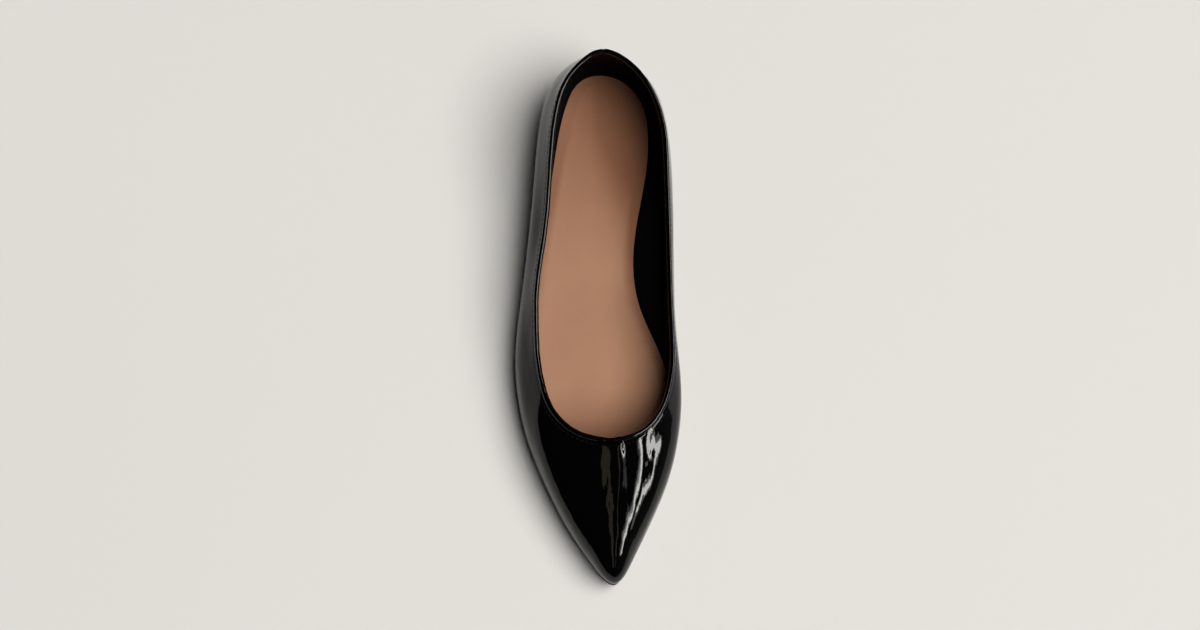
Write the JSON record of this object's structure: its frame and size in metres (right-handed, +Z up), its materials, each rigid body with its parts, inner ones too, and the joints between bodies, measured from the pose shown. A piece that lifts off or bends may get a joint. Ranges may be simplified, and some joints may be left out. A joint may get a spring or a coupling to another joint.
{
  "type": "pointed toe flat shoe",
  "caption": "Women's pointed toe slip-on flat for the right foot: glossy black shell with a low cut rounded topline and narrow folded binding, tan padded insole, thin sole and low heel.",
  "frame": {"origin": "on the floor, under the middle of the shoe's box", "axes": "+Z up from the floor, +Y from the toe to the heel, +X to the inner side of the foot"},
  "size_m": [0.0815, 0.2609, 0.058],
  "materials": {
    "patent_black": "high-gloss patent coating, near black",
    "insole_tan": "matte smooth tan",
    "sole_black": "matte black"
  },
  "bodies": {
    "root": {"upper": "patent_black", "topline_binding": "patent_black", "insole": "insole_tan", "outsole": "sole_black", "heel": "sole_black"}
  },
  "joints": []
}
